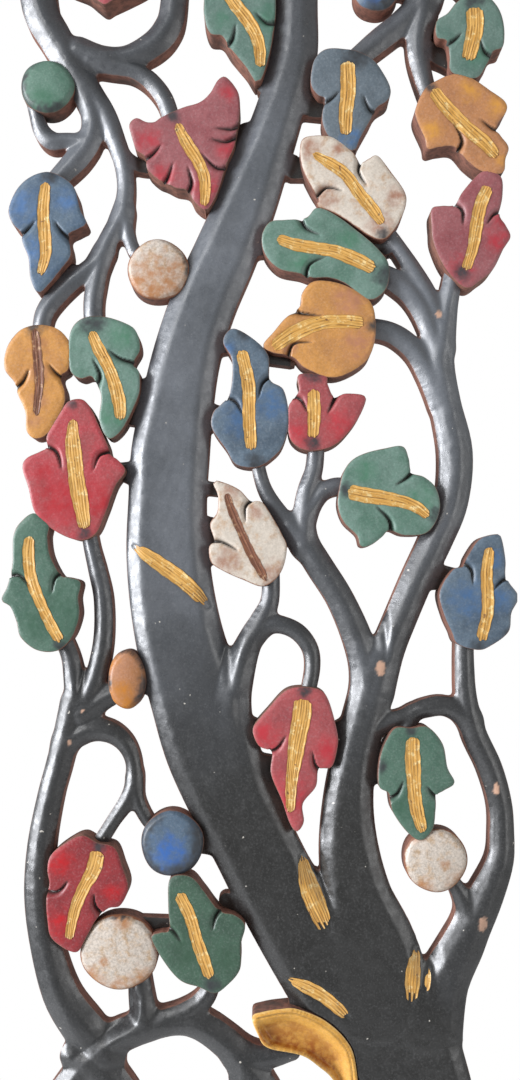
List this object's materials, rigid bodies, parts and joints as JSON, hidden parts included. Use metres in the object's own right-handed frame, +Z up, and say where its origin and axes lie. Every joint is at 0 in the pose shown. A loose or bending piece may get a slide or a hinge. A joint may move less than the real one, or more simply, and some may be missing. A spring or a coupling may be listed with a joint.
{
  "type": "carved wooden wall panel",
  "caption": "Pierced wall panel carved from a plank as a curving fruit tree with lobed leaves, painted, with a flat back for hanging.",
  "frame": {"origin": "on the flat back of the upper trunk, where the panel is fixed to a wall, straight above its centre of mass", "axes": "+Z up the height of the panel; +Y out of the flat back towards the wall; +X to the right as seen from the front"},
  "size_m": [0.517, 0.032, 1.14],
  "materials": {
    "painted_wood": "satin paint, worn"
  },
  "bodies": {
    "root": {"carved_panel": "painted_wood"}
  },
  "joints": []
}
